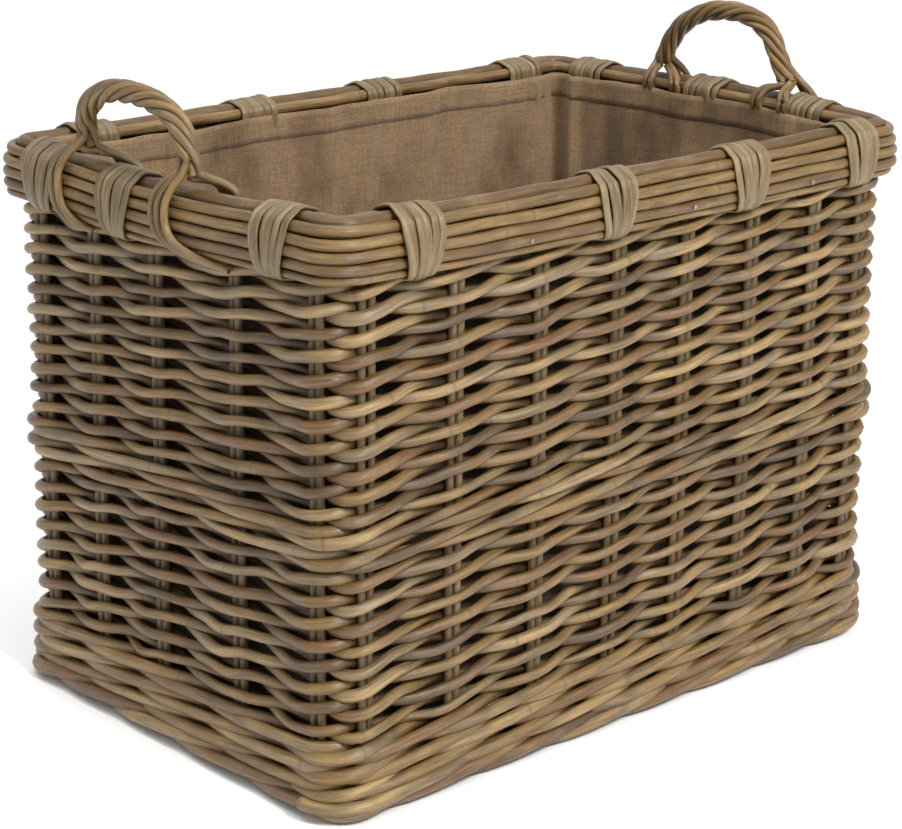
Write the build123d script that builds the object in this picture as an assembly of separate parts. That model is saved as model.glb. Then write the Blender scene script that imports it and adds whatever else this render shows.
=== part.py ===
"""Rectangular wicker log basket with a roped handle at each end and a sewn-in hessian liner.

Frame: +X along the long side, +Y along the short side, +Z up.
The origin is at the middle of the underside, on the floor.

"Outset" means a distance outwards from the outer face of the woven wall, so every hoop, wall and
liner is set out from that one face. The front is the long wall at -Y.
"""

from math import atan2, copysign, cos, degrees, hypot, radians, sin, sqrt
import os

from build123d import *

# Driving dimensions, in millimetres.
BODY_LENGTH = 645.0
BODY_WIDTH = 430.0
RIM_HEIGHT = 480.0
CORNER_RADIUS = 34.0
INNER_CORNER_RADIUS = 12.0
WALL_THICKNESS = 22.0
CLEARANCE = 0.3

# Upright stakes: each place holds a pair of rods. Places are shares of half the side's length.
STAKE_DIAMETER = 7.0
STAKE_PAIR_GAP = 1.0
LONG_SIDE_STAKES = (-0.88, -0.60, -0.32, -0.05, 0.20, 0.45, 0.70, 0.90)
SHORT_SIDE_STAKES = (-0.84, -0.39, 0.09, 0.48, 0.83)

# Woven bands of the wall, by height.
FOOT_BORDER_HEIGHT = 16.0
FOOT_BORDER_OUTSET = 2.0
FOOT_WALE_HEIGHT = 48.5
LOWER_WEAVE_HEIGHT = 141.5
MIDDLE_WALE_HEIGHT = 35.0
PASSAGE_HEIGHT = 5.0

# Rim canes. The inner one overhangs the wall, the top one lies against it, the first outer one
# against that, and the others one under another, each bowed out a little from the wall's face.
CANE_GAP = 0.3
TOP_CANE_DIAMETER = 13.0
INNER_CANE_DIAMETER = 10.0
INNER_CANE_OVERHANG = 3.6
INNER_CANE_ANGLE = 9.5
OUTER_CANE_DIAMETER = 9.2
OUTER_CANE_ANGLE = 18.5
OUTER_CANE_BOWS = (0.0, 1.0, 0.8)
LOWEST_CANE_DIAMETER = 6.4
LOWEST_CANE_BOW = 0.7
TOP_WEAVE_GAP = 0.3

# Split-cane bindings round the rim. Places on the front and back are shares of the straight run that
# a binding can use. On a handled side the outer two are shares of the run between the handle and the
# corner, and the middle one is a share of its room between the handle's legs.
BINDING_STRIP_WIDTH = 7.0
BINDING_STRIP_THICKNESS = 2.0
STRIP_GAP = 0.5
BINDING_STRIPS = 6
BINDING_PLACES = {
    "front": (-0.92, -0.10, 0.46, 1.0),
    "back": (-0.92, -0.31, 0.27, 0.94),
    "left": (0.87, 0.15, 1.0),
    "right": (0.10, 0.90, 0.87),
}

# Roped handles, one over each short side. A shift is a share of the room beside the handle's feet.
HANDLE_SPAN = 132.0
HANDLE_RISE = 61.0
HANDLE_SHOULDER_RADIUS = 46.0
HANDLE_CORE_DIAMETER = 9.0
HANDLE_ROPE_DIAMETER = 19.0
HANDLE_SHIFTS = {"left": 0.78, "right": -0.26}
LASHING_WIDTH = 6.0
LASHING_THICKNESS = 3.0
LASHING_GAP = 0.3

# Base panel.
BASE_HOOP_DIAMETER = 12.0
BASE_LEVEL = 14.0
BASE_STICK_DIAMETER = 6.4
BASE_STICK_COUNT = 7

# Hessian liner.
LINER_THICKNESS = 2.0
LINER_STAND_OFF = 0.9
HEM_HEIGHT = 20.0
HEM_THICKNESS = 1.5

# Nails that hold the outer canes.
NAIL_DIAMETER = 2.0
NAIL_DEPTH = 6.0
NAIL_HEAD_DIAMETER = 4.0
NAIL_HEAD_THICKNESS = 1.0
NAILED_SIDES = ("front", "back")

# Worked out from the driving dimensions.
HALF_LENGTH = BODY_LENGTH / 2
HALF_WIDTH = BODY_WIDTH / 2
STAKE_OUTSET = -WALL_THICKNESS / 2
STAKE_PAIR_PITCH = STAKE_DIAMETER + STAKE_PAIR_GAP
BINDING_STRIP_PITCH = BINDING_STRIP_WIDTH + STRIP_GAP
BINDING_WIDTH = BINDING_STRIP_PITCH * (BINDING_STRIPS - 1) + BINDING_STRIP_WIDTH
BINDING_ALLOWANCE = CORNER_RADIUS + BINDING_WIDTH / 2
LASHING_PITCH = LASHING_WIDTH + STRIP_GAP
LASHING_SPREAD = HANDLE_ROPE_DIAMETER / 2 + LASHING_GAP + (LASHING_PITCH + LASHING_WIDTH) / 2
LASHING_REACH = LASHING_SPREAD + (LASHING_PITCH + LASHING_WIDTH) / 2
HANDLE_REACH = HANDLE_SPAN / 2 + LASHING_REACH + STRIP_GAP
HANDLE_ROOM = HALF_WIDTH - CORNER_RADIUS - BINDING_WIDTH - HANDLE_REACH
MIDDLE_BINDING_ROOM = (HANDLE_SPAN - BINDING_WIDTH) / 2 - LASHING_REACH - STRIP_GAP
HANDLE_CENTRES = {side: shift * HANDLE_ROOM for side, shift in HANDLE_SHIFTS.items()}
SIDES = {
    "front": (Vector(1, 0, 0), Vector(0, -1, 0), HALF_LENGTH, HALF_WIDTH),
    "back": (Vector(1, 0, 0), Vector(0, 1, 0), HALF_LENGTH, HALF_WIDTH),
    "left": (Vector(0, 1, 0), Vector(-1, 0, 0), HALF_WIDTH, HALF_LENGTH),
    "right": (Vector(0, 1, 0), Vector(1, 0, 0), HALF_WIDTH, HALF_LENGTH),
}
STAKE_PLACES = {
    "front": LONG_SIDE_STAKES,
    "back": LONG_SIDE_STAKES,
    "left": SHORT_SIDE_STAKES,
    "right": SHORT_SIDE_STAKES,
}
FOOT_WALE_TOP = FOOT_BORDER_HEIGHT + FOOT_WALE_HEIGHT
LOWER_WEAVE_TOP = FOOT_WALE_TOP + LOWER_WEAVE_HEIGHT
MIDDLE_WALE_TOP = LOWER_WEAVE_TOP + MIDDLE_WALE_HEIGHT
LINER_BOTTOM = BASE_LEVEL + BASE_HOOP_DIAMETER / 2 + CLEARANCE
LINER_OUTSET = -WALL_THICKNESS - CLEARANCE - LASHING_THICKNESS - LINER_STAND_OFF


def cane_reach(first_diameter, second_diameter):
    """Distance between the centres of two canes that lie against each other."""
    return (first_diameter + second_diameter) / 2 + CANE_GAP


def cane_below(name, diameter, bow, above):
    """Cane against the wall's outer face, bowed out from it, that lies against the cane above."""
    _, above_diameter, above_outset, above_height = above
    outset = diameter / 2 + CANE_GAP + bow
    reach = cane_reach(diameter, above_diameter)
    return name, diameter, outset, above_height - sqrt(reach**2 - (outset - above_outset) ** 2)


def set_out_canes():
    """Canes of the rim as (name, diameter, outset, height of the centre)."""
    inner_reach = cane_reach(TOP_CANE_DIAMETER, INNER_CANE_DIAMETER)
    inner_outset = INNER_CANE_DIAMETER / 2 - WALL_THICKNESS - INNER_CANE_OVERHANG
    top_outset = inner_outset + inner_reach * cos(radians(INNER_CANE_ANGLE))
    top_height = RIM_HEIGHT - TOP_CANE_DIAMETER / 2
    inner_height = top_height - inner_reach * sin(radians(INNER_CANE_ANGLE))
    outer_reach = cane_reach(TOP_CANE_DIAMETER, OUTER_CANE_DIAMETER)
    outer_outset = top_outset + outer_reach * cos(radians(OUTER_CANE_ANGLE))
    outer_height = top_height - outer_reach * sin(radians(OUTER_CANE_ANGLE))
    canes = [
        ("rim_top_cane", TOP_CANE_DIAMETER, top_outset, top_height),
        ("rim_inner_cane", INNER_CANE_DIAMETER, inner_outset, inner_height),
        ("rim_outer_cane_1", OUTER_CANE_DIAMETER, outer_outset, outer_height),
    ]
    for number, bow in enumerate(OUTER_CANE_BOWS, start=2):
        canes.append(cane_below(f"rim_outer_cane_{number}", OUTER_CANE_DIAMETER, bow, canes[-1]))
    canes.append(cane_below("rim_lowest_cane", LOWEST_CANE_DIAMETER, LOWEST_CANE_BOW, canes[-1]))
    return canes


# Heights and outsets that follow from the rim canes.
RIM_CANES = set_out_canes()
TOP_CANE, INNER_CANE, FIRST_OUTER_CANE = RIM_CANES[:3]
NAILED_CANE, LOWEST_CANE = RIM_CANES[-2:]
TOP_CANE_OUTSET = TOP_CANE[2]
NAILED_CANE_OUTSET = NAILED_CANE[2]
NAILED_CANE_HEIGHT = NAILED_CANE[3]
LOWEST_CANE_OUTSET = LOWEST_CANE[2]
RIM_UNDERSIDE = LOWEST_CANE[3] - LOWEST_CANE_DIAMETER / 2
UPPER_WEAVE_TOP = RIM_UNDERSIDE - PASSAGE_HEIGHT
INNER_CANE_UNDERSIDE = INNER_CANE[3] - INNER_CANE_DIAMETER / 2
LINER_TOP = INNER_CANE_UNDERSIDE - LASHING_THICKNESS - 2 * CLEARANCE
UPPER_CANES = (TOP_CANE, INNER_CANE, FIRST_OUTER_CANE)
WALL_TOP = min(height - diameter / 2 for _, diameter, _, height in UPPER_CANES) - TOP_WEAVE_GAP


def corner_radius(outset):
    """Plan radius of the corners at an outset, which no inner piece makes tighter than its own."""
    return max(CORNER_RADIUS + outset, INNER_CORNER_RADIUS)


def outline(outset):
    """Plan of the basket at an outset: a rectangle with rounded corners."""
    radius = corner_radius(outset)
    return RectangleRounded(BODY_LENGTH + 2 * outset, BODY_WIDTH + 2 * outset, radius)


def band(outer, inner, bottom, top, bores=()):
    """Closed ring wall between two outsets and two heights, with upright bores."""
    plan = outline(outer) - outline(inner)
    if bores:
        plan -= list(bores)
    return Pos(0, 0, bottom) * extrude(plan, top - bottom)


def hoop(diameter, outset, height):
    """Round cane bent into a closed hoop: straight runs and quarter-turn corners."""
    half_x = HALF_LENGTH + outset
    half_y = HALF_WIDTH + outset
    radius = corner_radius(outset)
    runs = []
    arcs = []
    for turn, (x_sign, y_sign) in enumerate(((1, -1), (1, 1), (-1, 1), (-1, -1))):
        centre = (x_sign * (half_x - radius), y_sign * (half_y - radius))
        arcs.append(CenterArc(centre, radius, 90 * (turn - 1), 90))
    for turn in range(4):
        runs.append(Line(arcs[turn - 1] @ 1, arcs[turn] @ 0))
        runs.append(arcs[turn])
    path = Pos(0, 0, height) * Wire(runs)
    return sweep(Plane(origin=path @ 0, z_dir=path % 0) * Circle(diameter / 2), path=path)


def place_on_side(side, share):
    """Point on the wall's outer face at a share of half the side, at floor level."""
    along, outward, half_run, half_across = SIDES[side]
    return along * (share * half_run) + outward * half_across


def stake_points(side):
    """Plan positions of every stake rod on one side."""
    along, outward, _, _ = SIDES[side]
    points = []
    for share in STAKE_PLACES[side]:
        pair = place_on_side(side, share) + outward * STAKE_OUTSET
        for step in (-0.5, 0.5):
            points.append(pair + along * (step * STAKE_PAIR_PITCH))
    return points


def stake_bores():
    """Circles in plan where the stakes pass through the weave."""
    radius = STAKE_DIAMETER / 2 + CLEARANCE
    return [Pos(point) * Circle(radius) for side in SIDES for point in stake_points(side)]


def stakes(side):
    """All the upright rods of one side, standing on the foot border."""
    length = WALL_TOP - FOOT_BORDER_HEIGHT
    rod = Pos(0, 0, FOOT_BORDER_HEIGHT) * extrude(Circle(STAKE_DIAMETER / 2), length)
    return Compound(children=[Pos(point) * rod for point in stake_points(side)])


def cross_plane(side, position):
    """Plane across the rim at a distance along a side: its x is the outset, its y the height."""
    along, outward, _, half_across = SIDES[side]
    origin = along * position + outward * half_across
    return Plane(origin=origin, x_dir=outward, z_dir=outward.cross(Vector(0, 0, 1)))


def rim_outline(gap):
    """Outline in section round the rim canes and the wall under them, at a gap from them all."""
    middle = (RIM_HEIGHT + RIM_UNDERSIDE) / 2
    edges = []
    for _, diameter, outset, height in RIM_CANES:
        seam = degrees(atan2(middle - height, STAKE_OUTSET - outset))
        edges += (Pos(outset, height) * Rot(0, 0, seam) * Circle(diameter / 2 + gap)).edges()
    wall = Rectangle(
        LOWEST_CANE_OUTSET + WALL_THICKNESS + gap,
        WALL_TOP - RIM_UNDERSIDE + gap,
        align=(Align.MIN, Align.MIN),
    )
    return make_hull(edges) + Pos(-WALL_THICKNESS - gap, RIM_UNDERSIDE - gap) * wall


def strap_section(thickness):
    """Section of a strip wound tightly round the rim canes and through the wall under them."""
    return rim_outline(CLEARANCE + thickness) - rim_outline(CLEARANCE)


def clears_stakes(side, position, width):
    """True where a strip of this width passes beside every stake rod of the side."""
    _, _, half_run, _ = SIDES[side]
    reach = STAKE_PAIR_PITCH / 2 + STAKE_DIAMETER / 2 + width / 2 + CLEARANCE
    return all(abs(position - share * half_run) > reach for share in STAKE_PLACES[side])


def straps(side, positions, width, thickness):
    """Strips wound round the rim at distances along a side, leaving out those a stake stops."""
    section = strap_section(thickness)
    kept = [place for place in positions if clears_stakes(side, place, width)]
    return Compound(
        children=[extrude(cross_plane(side, place) * section, width / 2, both=True) for place in kept]
    )


def binding_centres(side):
    """Distances along a side of its bindings, in order."""
    usable = SIDES[side][2] - BINDING_ALLOWANCE
    if side not in HANDLE_CENTRES:
        return [share * usable for share in BINDING_PLACES[side]]
    near, middle, far = BINDING_PLACES[side]
    centre = HANDLE_CENTRES[side]
    first = centre - HANDLE_REACH - BINDING_WIDTH / 2
    last = centre + HANDLE_REACH + BINDING_WIDTH / 2
    return [
        first - near * (usable + first),
        centre + middle * MIDDLE_BINDING_ROOM,
        last + far * (usable - last),
    ]


def binding(side, centre):
    """One split-cane binding: neighbouring strips of one winding."""
    first = centre - BINDING_STRIP_PITCH * (BINDING_STRIPS - 1) / 2
    positions = [first + BINDING_STRIP_PITCH * strip for strip in range(BINDING_STRIPS)]
    return straps(side, positions, BINDING_STRIP_WIDTH, BINDING_STRIP_THICKNESS)


def lashings(side):
    """Rod ends of a handle, looped round the rim in two pairs beside each leg."""
    positions = []
    for leg in (-0.5, 0.5):
        for spread in (-LASHING_SPREAD, LASHING_SPREAD):
            for strand in (-0.5, 0.5):
                place = HANDLE_CENTRES[side] + leg * HANDLE_SPAN + spread
                positions.append(place + strand * LASHING_PITCH)
    return straps(side, positions, LASHING_WIDTH, LASHING_THICKNESS)


def handle_path(side):
    """Centre line of a handle: up from the top cane, over two shoulders, and down again."""
    foot = RIM_HEIGHT + CLEARANCE
    crown = RIM_HEIGHT + HANDLE_RISE
    reach = copysign(HALF_LENGTH + TOP_CANE_OUTSET, SIDES[side][1].X)
    near = HANDLE_CENTRES[side] - HANDLE_SPAN / 2
    far = HANDLE_CENTRES[side] + HANDLE_SPAN / 2
    corners = [(near, foot), (near, crown), (far, crown), (far, foot)]
    points = [Vector(reach, y, z) for y, z in corners]
    return FilletPolyline(*points, radius=HANDLE_SHOULDER_RADIUS)


def swept(section, path):
    """Section swept square to a path from its start."""
    return sweep(Plane(origin=path @ 0, z_dir=path % 0) * section, path=path)


def handle_core(side):
    """Bent rod inside a handle."""
    return swept(Circle(HANDLE_CORE_DIAMETER / 2), handle_path(side))


def handle_rope(side):
    """Rods twisted round the core of a handle, as the sleeve that they fill."""
    hole = Circle(HANDLE_CORE_DIAMETER / 2 + CLEARANCE / 2)
    return swept(Circle(HANDLE_ROPE_DIAMETER / 2) - hole, handle_path(side))


def nail_locations(outset):
    """Where the nails are, midway between bindings, at an outset and square to the rim."""
    locations = []
    for side in NAILED_SIDES:
        centres = binding_centres(side)
        for first, second in zip(centres, centres[1:]):
            plane = cross_plane(side, (first + second) / 2)
            locations.append(plane.location * Pos(outset, NAILED_CANE_HEIGHT))
    return locations


def nails():
    """Headed nails through the lowest full-size outer cane into the weave behind it."""
    face = NAILED_CANE_OUTSET + OUTER_CANE_DIAMETER / 2
    shank = Rot(0, 90, 0) * Cylinder(
        NAIL_DIAMETER / 2, face + NAIL_DEPTH, align=(Align.CENTER, Align.CENTER, Align.MAX)
    )
    head = Rot(0, 90, 0) * Cylinder(
        NAIL_HEAD_DIAMETER / 2, NAIL_HEAD_THICKNESS, align=(Align.CENTER, Align.CENTER, Align.MIN)
    )
    nail = shank + head
    return [location * nail for location in nail_locations(face)]


def nail_holes():
    """Clearance bores for the nails."""
    reach = NAILED_CANE_OUTSET + OUTER_CANE_DIAMETER
    bore = Rot(0, 90, 0) * Cylinder(
        NAIL_DIAMETER / 2 + CLEARANCE / 2,
        reach + NAIL_DEPTH + CLEARANCE,
        align=(Align.CENTER, Align.CENTER, Align.MAX),
    )
    return [location * bore for location in nail_locations(reach)]


def base_sticks():
    """Straight rods along the base, held between the ends of the hoop."""
    length = BODY_LENGTH - 2 * (WALL_THICKNESS + BASE_HOOP_DIAMETER + 2 * CLEARANCE)
    rod = Pos(0, 0, BASE_LEVEL) * Rot(0, 90, 0) * Cylinder(BASE_STICK_DIAMETER / 2, length)
    return Compound(children=[Pos(0, y, 0) * rod for y in stick_places()])


def stick_places():
    """Distances across the base at which its sticks lie."""
    usable = BODY_WIDTH - 2 * (WALL_THICKNESS + BASE_HOOP_DIAMETER + CORNER_RADIUS)
    pitch = usable / (BASE_STICK_COUNT - 1)
    return [pitch * (stick - (BASE_STICK_COUNT - 1) / 2) for stick in range(BASE_STICK_COUNT)]


def base_weave():
    """Woven panel inside the base hoop, with the sticks running through it."""
    inset = -WALL_THICKNESS - BASE_HOOP_DIAMETER - 2 * CLEARANCE
    panel = Pos(0, 0, BASE_LEVEL) * extrude(outline(inset), BASE_HOOP_DIAMETER / 2, both=True)
    bore = Rot(0, 90, 0) * Cylinder(BASE_STICK_DIAMETER / 2 + CLEARANCE, BODY_LENGTH)
    return panel - [Pos(0, y, BASE_LEVEL) * bore for y in stick_places()]


def liner_floor():
    """Bottom panel of the liner."""
    inset = LINER_OUTSET - LINER_THICKNESS - CLEARANCE
    return Pos(0, 0, LINER_BOTTOM) * extrude(outline(inset), LINER_THICKNESS)


def wall_parts():
    """The woven bands of the wall, from the floor up."""
    bores = stake_bores()
    inner = -WALL_THICKNESS
    top_weave = band(0, inner, RIM_UNDERSIDE, WALL_TOP, bores) - nail_holes()
    return {
        "foot_border": band(FOOT_BORDER_OUTSET, inner, 0, FOOT_BORDER_HEIGHT),
        "foot_wale": band(0, inner, FOOT_BORDER_HEIGHT, FOOT_WALE_TOP, bores),
        "lower_weave": band(0, inner, FOOT_WALE_TOP, LOWER_WEAVE_TOP, bores),
        "middle_wale": band(0, inner, LOWER_WEAVE_TOP, MIDDLE_WALE_TOP, bores),
        "upper_weave": band(0, inner, MIDDLE_WALE_TOP, UPPER_WEAVE_TOP, bores),
        "top_weave": top_weave,
    }


def rim_parts():
    """The hoops, bindings and nails of the rim."""
    parts = {name: hoop(diameter, outset, height) for name, diameter, outset, height in RIM_CANES}
    parts[NAILED_CANE[0]] -= nail_holes()
    for side in SIDES:
        for number, centre in enumerate(binding_centres(side), start=1):
            parts[f"{side}_binding_{number}"] = binding(side, centre)
    parts["rim_nails"] = Compound(children=nails())
    return parts


def base_parts():
    """The base hoop, its sticks and its weave."""
    hoop_outset = -WALL_THICKNESS - CLEARANCE - BASE_HOOP_DIAMETER / 2
    return {
        "base_hoop": hoop(BASE_HOOP_DIAMETER, hoop_outset, BASE_LEVEL),
        "base_sticks": base_sticks(),
        "base_weave": base_weave(),
    }


def liner_parts():
    """The hessian liner: its sides, the turned hem at their top, and its floor."""
    inside = LINER_OUTSET - LINER_THICKNESS
    hem_outset = inside - HEM_THICKNESS
    return {
        "liner_sides": band(LINER_OUTSET, inside, LINER_BOTTOM, LINER_TOP),
        "liner_hem": band(inside, hem_outset, LINER_TOP - HEM_HEIGHT, LINER_TOP),
        "liner_floor": liner_floor(),
    }


def handle_parts(side):
    """The core, rope and lashings of one handle."""
    return {
        f"{side}_handle_core": handle_core(side),
        f"{side}_handle_rope": handle_rope(side),
        f"{side}_handle_lashings": lashings(side),
    }


def build_parts():
    """Every piece of the basket, by node name."""
    parts = base_parts() | wall_parts() | rim_parts() | liner_parts()
    for side in SIDES:
        parts[f"{side}_stakes"] = stakes(side)
    for side in HANDLE_CENTRES:
        parts |= handle_parts(side)
    return parts


def clear_of_neighbour(first, second):
    """Gap between two rim canes in section, which stays positive."""
    _, first_diameter, first_outset, first_height = first
    _, second_diameter, second_outset, second_height = second
    distance = hypot(first_outset - second_outset, first_height - second_height)
    return distance - (first_diameter + second_diameter) / 2


if __name__ == "__main__":
    os.makedirs("parts", exist_ok=True)
    for lower, upper in zip(RIM_CANES[2:], RIM_CANES[3:]):
        print(f"gap {lower[0]} to {upper[0]}: {clear_of_neighbour(lower, upper):.2f} mm")
    for name, shape in build_parts().items():
        export_step(shape, f"parts/{name}.step")
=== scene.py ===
from math import cos, floor, pi, radians, sin

import bpy
import numpy as np
from mathutils import Matrix, Vector


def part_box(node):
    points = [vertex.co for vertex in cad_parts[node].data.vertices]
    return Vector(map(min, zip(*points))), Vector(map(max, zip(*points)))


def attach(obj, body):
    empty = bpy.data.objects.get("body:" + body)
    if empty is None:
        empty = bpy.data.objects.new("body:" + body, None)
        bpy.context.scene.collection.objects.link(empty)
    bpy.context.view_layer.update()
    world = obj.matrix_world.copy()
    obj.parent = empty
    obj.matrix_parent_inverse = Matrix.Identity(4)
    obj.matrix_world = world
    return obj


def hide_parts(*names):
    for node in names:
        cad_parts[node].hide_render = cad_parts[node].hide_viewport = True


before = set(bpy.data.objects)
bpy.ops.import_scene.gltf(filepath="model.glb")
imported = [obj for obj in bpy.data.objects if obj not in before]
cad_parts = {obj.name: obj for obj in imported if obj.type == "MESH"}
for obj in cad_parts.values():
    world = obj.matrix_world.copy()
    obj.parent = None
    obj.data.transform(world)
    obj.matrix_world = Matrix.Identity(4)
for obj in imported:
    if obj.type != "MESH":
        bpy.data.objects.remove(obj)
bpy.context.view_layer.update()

# Wicker log basket. All sizes are in metres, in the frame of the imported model.
# "Outset" is a distance outwards from the outer face of the woven wall, as in the CAD model.

SEED = 7
ROOT = "root"

# Wall plan and stakes, as in the CAD model.
CORNER_RADIUS = 0.034
WALL_THICKNESS = 0.022
STAKE_RADIUS = 0.0035
STAKE_PAIR_PITCH = 0.0080
LONG_SIDE_STAKES = (-0.88, -0.60, -0.32, -0.05, 0.20, 0.45, 0.70, 0.90)
SHORT_SIDE_STAKES = (-0.84, -0.39, 0.09, 0.48, 0.83)

# Woven rods: SWING is how far they go in and out round the stakes, RISE how far up and down.
ROD_RADIUS = 0.0044
SWING = 0.0080
RISE = 0.0043
WALE_RISE = 0.0058
SAMPLE_STEP = 0.0052
ROD_SIDES = 10
CORNER_SWELL = 0.13
CORNER_SWELL_REACH = 0.040

# Woven rows: pairing bands as (highest row, lowest row, how many), then waling and others by height.
UPPER_ROWS = (0.4230, 0.2500, 11)
LOWER_ROWS = (0.1970, 0.0730, 8)
MIDDLE_WALE_ROWS = (0.2325, 0.2155)
TOP_WALE_ROW = 0.4385
TOP_PAIRING_ROW = 0.4540
FOOT_WALE_ROWS = (0.0560, 0.0400, 0.0250)
BORDER_ROW = 0.0121
FOOT_WALE_RADIUS = 0.0051
BORDER_RADIUS = 0.0056
CUT_ROD_RADIUS = 0.0054

# Split-cane bindings.
BINDING_TURNS = 6
BINDING_PITCH = 0.0074
BINDING_HALF_WIDTH = 0.0036
BINDING_FLATNESS = 0.44
BINDING_GAP = 0.0012

# Hessian liner. Corner folds are (distance past the corner's middle, depth, width).
CLOTH_THICKNESS = 0.0012
HEM_CLOTH_THICKNESS = 0.0004
HEM_OFFSET = 0.0009
LINER_CORNER_RADIUS = 0.007
CORNER_FOLD_DEPTH = 0.006
CREASE_DEPTH = 0.0019
THREAD_GAP = 0.0019
LINER_TOP_RISE = 0.0045
CORNER_FOLDS = ((-0.026, 1.0, 0.007), (0.030, 0.6, 0.006))

# Woven base.
BASE_ROD_RADIUS = 0.0029
BASE_ROW_PITCH = 0.0062

# Height from which the rim's unevenness grows, and width of the swelling at a node of the rattan.
WARP_START = 0.22
NODE_WIDTH = 0.0035

# The rim's corners are bent tighter than the wall's.
RIM_CORNER_RADIUS = 0.025

# Camera, fitted to the viewing angle: angles in degrees, distances in metres.
CAMERA_AZIMUTH = -42.53
CAMERA_ELEVATION = 17.57
CAMERA_ROLL = 0.735
CAMERA_LENS = 102.93
CAMERA_DISTANCE = 2.277
CAMERA_SLIDE = (0.0079, 0.0182)

rng = np.random.default_rng(SEED)


# ---------------------------------------------------------------------------
# The basket's measures, read from the frame
# ---------------------------------------------------------------------------

def node_box(name):
    low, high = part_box(name)
    return np.array(low), np.array(high)


HALF_LENGTH, HALF_WIDTH, _ = node_box("upper_weave")[1]
RIM_TOP = node_box("rim_top_cane")[1][2]


def cane_measures(name):
    """(radius, outset, height) of a rim hoop."""
    low, high = node_box(name)
    radius = (high[2] - low[2]) / 2
    return radius, high[0] - radius - HALF_LENGTH, (high[2] + low[2]) / 2


RIM_CANES = [name for name in sorted(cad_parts) if name.startswith("rim_") and "cane" in name]
CANE_SECTIONS = {name: cane_measures(name) for name in RIM_CANES}

SIDE_STAKES = {
    "front": (LONG_SIDE_STAKES, HALF_LENGTH),
    "right": (SHORT_SIDE_STAKES, HALF_WIDTH),
    "back": (LONG_SIDE_STAKES, HALF_LENGTH),
    "left": (SHORT_SIDE_STAKES, HALF_WIDTH),
}


# ---------------------------------------------------------------------------
# The closed line that walls, hoops and liner follow
# ---------------------------------------------------------------------------

class Loop:
    """A rectangle with rounded corners, measured by distance from the middle of the front wall."""

    def __init__(self, outset, radius=None):
        self.half_x = HALF_LENGTH + outset
        self.half_y = HALF_WIDTH + outset
        self.radius = CORNER_RADIUS + outset if radius is None else radius
        self.run_x = self.half_x - self.radius
        self.run_y = self.half_y - self.radius
        self.turn = self.radius * pi / 2
        quarter = (self.run_x, self.turn, self.run_y)
        runs = quarter + quarter[::-1] + quarter + quarter[::-1]
        self.marks = np.concatenate([[0.0], np.cumsum(runs)])
        self.length = self.marks[-1]

    def at(self, distance):
        """Plan points and outward directions at an array of distances."""
        distance = np.mod(np.asarray(distance, float), self.length)
        quarter = self.length / 4
        index = np.floor(distance / quarter).astype(int) % 4
        local = distance - index * quarter
        odd = index % 2 == 1
        near_run = np.where(odd, self.run_y, self.run_x)
        far_run = np.where(odd, self.run_x, self.run_y)
        near_half = np.where(odd, self.half_x, self.half_y)
        turned = np.clip((local - near_run) / self.turn, 0, 1) * pi / 2
        past = np.clip(local - near_run - self.turn, 0, far_run)
        along = np.minimum(local, near_run) + self.radius * np.sin(turned)
        across = -near_half + self.radius * (1 - np.cos(turned)) + past
        facing = index * pi / 2
        c, s = np.cos(facing), np.sin(facing)

        def turn_to_side(u, v):
            return np.stack([c * u - s * v, s * u + c * v], -1)

        return turn_to_side(along, across), turn_to_side(np.sin(turned), -np.cos(turned))

    def distance_at(self, side, position):
        """Distance along the loop of a position along one side."""
        side_index = {"front": 0, "right": 1, "back": 2, "left": 3}[side]
        sign = 1 if side in ("front", "right") else -1
        return side_index * self.length / 4 + sign * position


WALL_MIDDLE = -WALL_THICKNESS / 2
WALL = Loop(WALL_MIDDLE)


def stake_marks():
    """Distances along the wall of every stake pair, in order."""
    marks = []
    for side, (shares, half) in SIDE_STAKES.items():
        marks += [WALL.distance_at(side, share * half) % WALL.length for share in shares]
    return np.sort(np.array(marks))


STAKES = stake_marks()
STAKE_COUNT = len(STAKES)


def make_phase():
    """Table of the stake count along the wall: it rises by one from each stake pair to the next."""
    grid = np.linspace(-WALL.length, 2 * WALL.length, 3000)
    marks = np.concatenate([STAKES - WALL.length, STAKES, STAKES + WALL.length])
    counts = np.arange(-STAKE_COUNT, 2 * STAKE_COUNT)
    phase = np.interp(grid, marks, counts)
    reach = int(0.012 / (grid[1] - grid[0]))
    kernel = np.hanning(2 * reach + 1)
    smooth = np.convolve(phase, kernel / kernel.sum(), "same")
    return grid, smooth


PHASE_GRID, PHASE_TABLE = make_phase()


def stake_phase(distance):
    """Stake count at a distance, continuing past one whole turn."""
    turns = np.floor(distance / WALL.length)
    return np.interp(distance - turns * WALL.length, PHASE_GRID, PHASE_TABLE) + turns * STAKE_COUNT


def wobble(distance, length, amplitude, waves=(2, 3, 5, 8, 13)):
    """Smooth random wander that closes on itself after one length."""
    total = np.zeros_like(distance)
    for wave in waves:
        total += rng.normal() * np.sin(2 * pi * wave * distance / length + rng.uniform(0, 2 * pi))
    return total * amplitude / np.sqrt(len(waves))


def unit(vectors):
    return vectors / np.linalg.norm(vectors, axis=-1, keepdims=True)


def distance_along(points):
    """Distance of each point from the first, along the line."""
    steps = np.linalg.norm(np.diff(points, axis=0), axis=1)
    return np.concatenate([[0.0], np.cumsum(steps)])


def even_distances(length, step, turns=1):
    """Even distances, about a step apart, over some turns of a closed line."""
    count = int(turns * length / step)
    return np.arange(count) * turns * length / count


def in_space(plan, normal, height):
    """Points and outward directions in space, from those in plan."""
    height = np.broadcast_to(height, len(plan))
    return np.column_stack([plan, height]), np.column_stack([normal, np.zeros(len(plan))])


def add_object(name, data):
    made = bpy.data.objects.new(name, data)
    bpy.context.scene.collection.objects.link(made)
    return made


# ---------------------------------------------------------------------------
# Meshes made of tubes
# ---------------------------------------------------------------------------

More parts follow.
